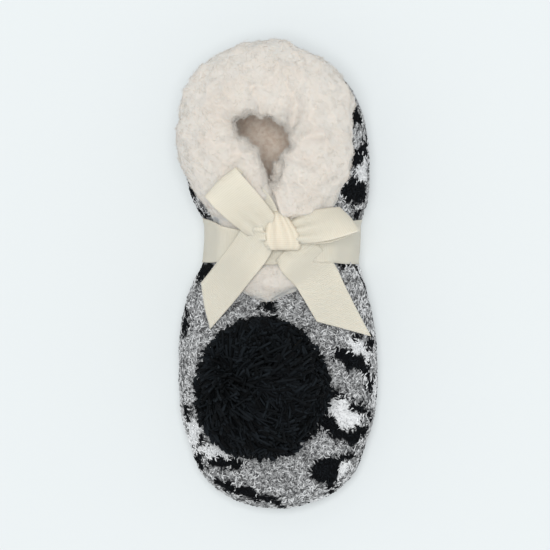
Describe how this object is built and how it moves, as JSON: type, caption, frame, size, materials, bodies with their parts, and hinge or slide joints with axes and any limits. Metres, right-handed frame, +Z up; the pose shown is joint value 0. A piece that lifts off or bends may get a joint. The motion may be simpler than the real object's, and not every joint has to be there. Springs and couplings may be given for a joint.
{
  "type": "slipper",
  "caption": "Knitted slipper sock with a fleece-lined collar, a yarn pompom on the toe and a ribbon bow round the waist.",
  "frame": {"origin": "middle of the bounding box in plan, on the floor plane under the flat spots of the sole", "axes": "+Z up, +Y towards the heel, -Y towards the toe, +X to the side"},
  "size_m": [0.104, 0.2456, 0.1017],
  "materials": {
    "knit": "matt",
    "sole_fabric": "matt",
    "fleece": "matt",
    "yarn": "matt",
    "ribbon": "satin"
  },
  "bodies": {
    "root": {"upper": "knit", "outsole": "sole_fabric", "insole": "fleece", "cuff": "fleece", "pompom": "yarn", "ribbon_band": "ribbon", "bow_knot": "ribbon", "bow_loop_left": "ribbon", "bow_loop_right": "ribbon", "bow_tail_left": "ribbon", "bow_tail_right": "ribbon"}
  },
  "joints": []
}
